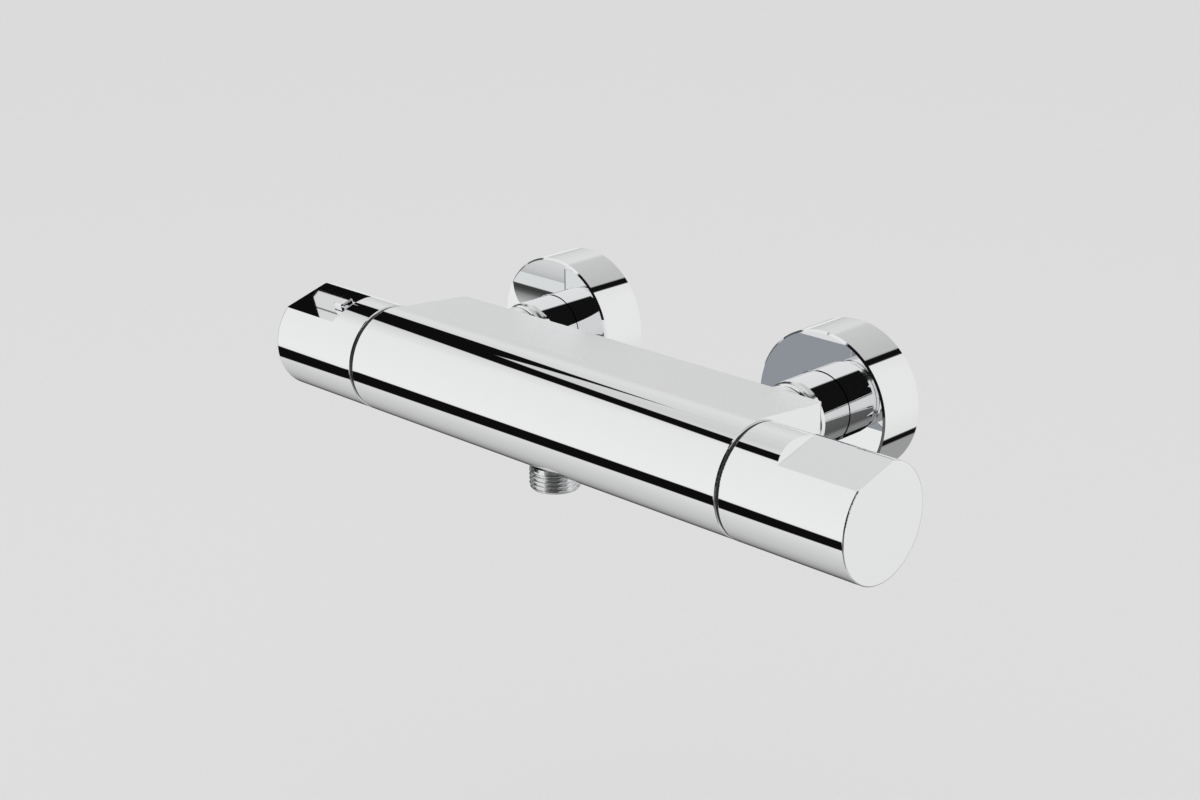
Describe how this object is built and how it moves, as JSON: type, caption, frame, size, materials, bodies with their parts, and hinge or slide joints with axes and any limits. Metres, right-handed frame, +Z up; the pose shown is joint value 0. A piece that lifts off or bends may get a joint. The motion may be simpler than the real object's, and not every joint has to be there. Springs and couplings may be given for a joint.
{
  "type": "thermostatic shower valve",
  "caption": "Wall-held bar shower mixer: a round bar with a turning temperature handle and flow handle at its ends, a hose outlet below, and wall unions with deep round covers behind.",
  "frame": {"origin": "on the wall plane, midway between the axes of the two wall inlets", "axes": "+X along the bar towards the temperature handle, +Y into the wall, +Z up"},
  "size_m": [0.313, 0.13, 0.0661],
  "materials": {
    "chrome_plate": "polished chrome plate over brass",
    "plated_tail": "satin chrome plate over brass",
    "bare_brass": "machined brass",
    "dark_ring_plastic": "dark moulded plastic",
    "stop_ring_plastic": "moulded plastic",
    "hub_plastic": "moulded plastic",
    "cartridge_plastic": "glass filled moulded plastic",
    "seal_rubber": "smooth rubber",
    "spring_steel": "drawn stainless steel",
    "ceramic": "ground ceramic",
    "wax_copper": "drawn copper alloy"
  },
  "bodies": {
    "valve_body": {"main_body": "chrome_plate", "shower_outlet": "chrome_plate", "outlet_seal": "seal_rubber", "cartridge_housing": "cartridge_plastic", "cartridge_seals": "seal_rubber", "cartridge_ring_nut": "bare_brass", "return_spring": "spring_steel", "temperature_slide_ring": "dark_ring_plastic", "temperature_stop_ring": "stop_ring_plastic", "headwork_housing": "bare_brass", "headwork_seal": "seal_rubber", "headwork_seat_seal": "seal_rubber", "fixed_ceramic_disc": "ceramic", "flow_slide_ring": "dark_ring_plastic", "flow_stop_ring": "stop_ring_plastic", "inlet_tail_left": "plated_tail", "inlet_washer_left": "seal_rubber", "inlet_strainer_left": "spring_steel", "eccentric_union_left": "bare_brass", "check_valve_housing_left": "cartridge_plastic", "check_valve_spring_left": "spring_steel", "inlet_tail_right": "plated_tail", "inlet_washer_right": "seal_rubber", "inlet_strainer_right": "spring_steel", "eccentric_union_right": "bare_brass", "check_valve_housing_right": "cartridge_plastic", "check_valve_spring_right": "spring_steel"},
    "temperature_control": {"temperature_handle": "chrome_plate", "temperature_hub": "hub_plastic", "temperature_handle_screw": "spring_steel", "temperature_spindle": "bare_brass", "temperature_spindle_seal": "seal_rubber", "overload_spring": "spring_steel", "temperature_button_spring": "spring_steel"},
    "temperature_stop_button": {"temperature_button": "chrome_plate"},
    "regulator": {"wax_element": "wax_copper", "regulator_shuttle": "cartridge_plastic", "shuttle_seal": "seal_rubber", "overload_pusher": "cartridge_plastic"},
    "flow_control": {"flow_handle": "chrome_plate", "flow_hub": "hub_plastic", "flow_handle_screw": "spring_steel", "flow_spindle": "bare_brass", "flow_spindle_seal": "seal_rubber", "flow_circlip": "spring_steel", "moving_ceramic_disc": "ceramic", "flow_button_spring": "spring_steel"},
    "flow_stop_button": {"flow_button": "chrome_plate"},
    "nut_left": {"union_nut_left": "chrome_plate"},
    "cover_left": {"escutcheon_left": "chrome_plate"},
    "check_left": {"check_valve_poppet_left": "cartridge_plastic"},
    "nut_right": {"union_nut_right": "chrome_plate"},
    "cover_right": {"escutcheon_right": "chrome_plate"},
    "check_right": {"check_valve_poppet_right": "cartridge_plastic"}
  },
  "joints": [
    {"name": "temperature_turn", "type": "hinge", "parent": "valve_body", "child": "temperature_control", "pos_m": [0, -0.0935, 0.00284], "axis": [1, 0, 0], "range_deg": [-150, 75]},
    {"name": "regulator_slide", "type": "slide", "parent": "valve_body", "child": "regulator", "axis": [1, 0, 0], "range_m": [-0.0012, 0.0008], "deforming": ["return_spring", "overload_spring"]},
    {"name": "temperature_button_press", "type": "slide", "parent": "temperature_control", "child": "temperature_stop_button", "axis": [0, -0.2756, 0.9613], "range_m": [0, 0.0016], "stiffness_N_per_m": 400, "springref_m": -0.001, "deforming": ["temperature_button_spring"]},
    {"name": "flow_turn", "type": "hinge", "parent": "valve_body", "child": "flow_control", "pos_m": [0, -0.0935, 0.00284], "axis": [-1, 0, 0], "range_deg": [0, 90]},
    {"name": "flow_button_press", "type": "slide", "parent": "flow_control", "child": "flow_stop_button", "axis": [0, 0.2756, -0.9613], "range_m": [0, 0.0016], "stiffness_N_per_m": 400, "springref_m": -0.001, "deforming": ["flow_button_spring"]},
    {"name": "union_nut_left_turn", "type": "hinge", "parent": "valve_body", "child": "nut_left", "pos_m": [-0.075, -0.035, 0.006], "axis": [0, 1, 0], "continuous": true},
    {"name": "escutcheon_left_slide", "type": "slide", "parent": "valve_body", "child": "cover_left", "axis": [0, -1, 0], "range_m": [0, 0.025]},
    {"name": "check_left_lift", "type": "slide", "parent": "valve_body", "child": "check_left", "axis": [0, -1, 0], "range_m": [0, 0.0025], "stiffness_N_per_m": 100, "springref_m": -0.002, "deforming": ["check_valve_spring_left"]},
    {"name": "union_nut_right_turn", "type": "hinge", "parent": "valve_body", "child": "nut_right", "pos_m": [0.075, -0.035, 0.006], "axis": [0, 1, 0], "continuous": true},
    {"name": "escutcheon_right_slide", "type": "slide", "parent": "valve_body", "child": "cover_right", "axis": [0, -1, 0], "range_m": [0, 0.025]},
    {"name": "check_right_lift", "type": "slide", "parent": "valve_body", "child": "check_right", "axis": [0, -1, 0], "range_m": [0, 0.0025], "stiffness_N_per_m": 100, "springref_m": -0.002, "deforming": ["check_valve_spring_right"]}
  ],
  "couplings": [
    {"joint": "regulator_slide", "follows": "temperature_turn", "m_per_rad": 0.0004}
  ]
}
